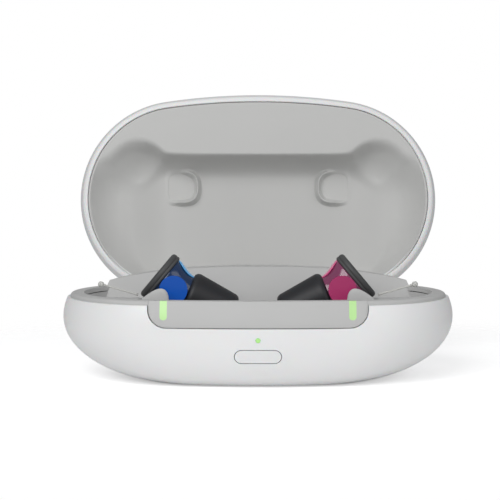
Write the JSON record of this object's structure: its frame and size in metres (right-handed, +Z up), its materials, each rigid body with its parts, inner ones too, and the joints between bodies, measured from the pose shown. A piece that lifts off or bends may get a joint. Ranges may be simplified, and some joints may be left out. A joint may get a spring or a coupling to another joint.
{
  "type": "hearing aid charger",
  "caption": "White pebble-shaped hearing aid charger, lid open on its hinge, with two seated in-ear aids, green light bars, a status light and a front button.",
  "frame": {"origin": "centre of the resting face under the rubber foot", "axes": "+X to the right as the user faces the button, +Y towards the hinge, +Z up"},
  "size_m": [0.0904, 0.0731, 0.0662],
  "materials": {
    "white_shell": "satin moulded",
    "grey_tray": "fine matt moulded",
    "light_lens": "frosted lens, lit green",
    "foot_rubber": "matt",
    "steel": "turned",
    "gold_contact": "plated",
    "circuit_board": "solder mask",
    "cell_can": "foil",
    "aid_plate": "fine matt",
    "aid_shell_left": "clear dark tint",
    "aid_shell_right": "clear rose tint",
    "aid_disc_left": "gloss",
    "aid_disc_right": "gloss",
    "aid_sleeve": "soft satin",
    "pull_line": "clear"
  },
  "bodies": {
    "base": {"base_shell": "white_shell", "rubber_foot": "foot_rubber", "inner_tray": "grey_tray", "button_switch": "grey_tray", "button_board": "circuit_board", "status_led": "light_lens", "status_light": "light_lens", "main_board": "circuit_board", "battery_cell": "cell_can", "usb_socket": "steel", "left_cradle": "grey_tray", "right_cradle": "grey_tray", "left_charge_pins": "gold_contact", "right_charge_pins": "gold_contact", "left_light_bar": "light_lens", "left_base_magnet": "steel", "left_hinge_pin": "steel", "right_light_bar": "light_lens", "right_base_magnet": "steel", "right_hinge_pin": "steel", "case_screw_1": "steel", "case_screw_2": "steel", "case_screw_3": "steel", "case_screw_4": "steel"},
    "lid": {"lid_shell": "white_shell", "lid_liner": "grey_tray", "left_hinge_arm": "grey_tray", "right_hinge_arm": "grey_tray", "left_lid_magnet": "steel", "right_lid_magnet": "steel"},
    "button": {"button_cap": "white_shell"},
    "left_aid": {"left_aid_faceplate": "aid_plate", "left_aid_body": "aid_shell_left", "left_aid_disc": "aid_disc_left", "left_aid_sleeve": "aid_sleeve", "left_aid_pull_line": "pull_line", "left_aid_knob": "pull_line"},
    "right_aid": {"right_aid_faceplate": "aid_plate", "right_aid_body": "aid_shell_right", "right_aid_disc": "aid_disc_right", "right_aid_sleeve": "aid_sleeve", "right_aid_pull_line": "pull_line", "right_aid_knob": "pull_line"}
  },
  "joints": [
    {"name": "lid_hinge", "type": "hinge", "parent": "base", "child": "lid", "pos_m": [0, 0.0246, 0.0162], "axis": [-1, 0, 0], "range_deg": [-97, 0]},
    {"name": "button_press", "type": "slide", "parent": "base", "child": "button", "axis": [0, 1, 0], "range_m": [0, 0.0004], "stiffness_N_per_m": 900},
    {"name": "left_aid_lift", "type": "slide", "parent": "base", "child": "left_aid", "axis": [0, 0, 1], "range_m": [0, 0.04]},
    {"name": "right_aid_lift", "type": "slide", "parent": "base", "child": "right_aid", "axis": [0, 0, 1], "range_m": [0, 0.04]}
  ]
}
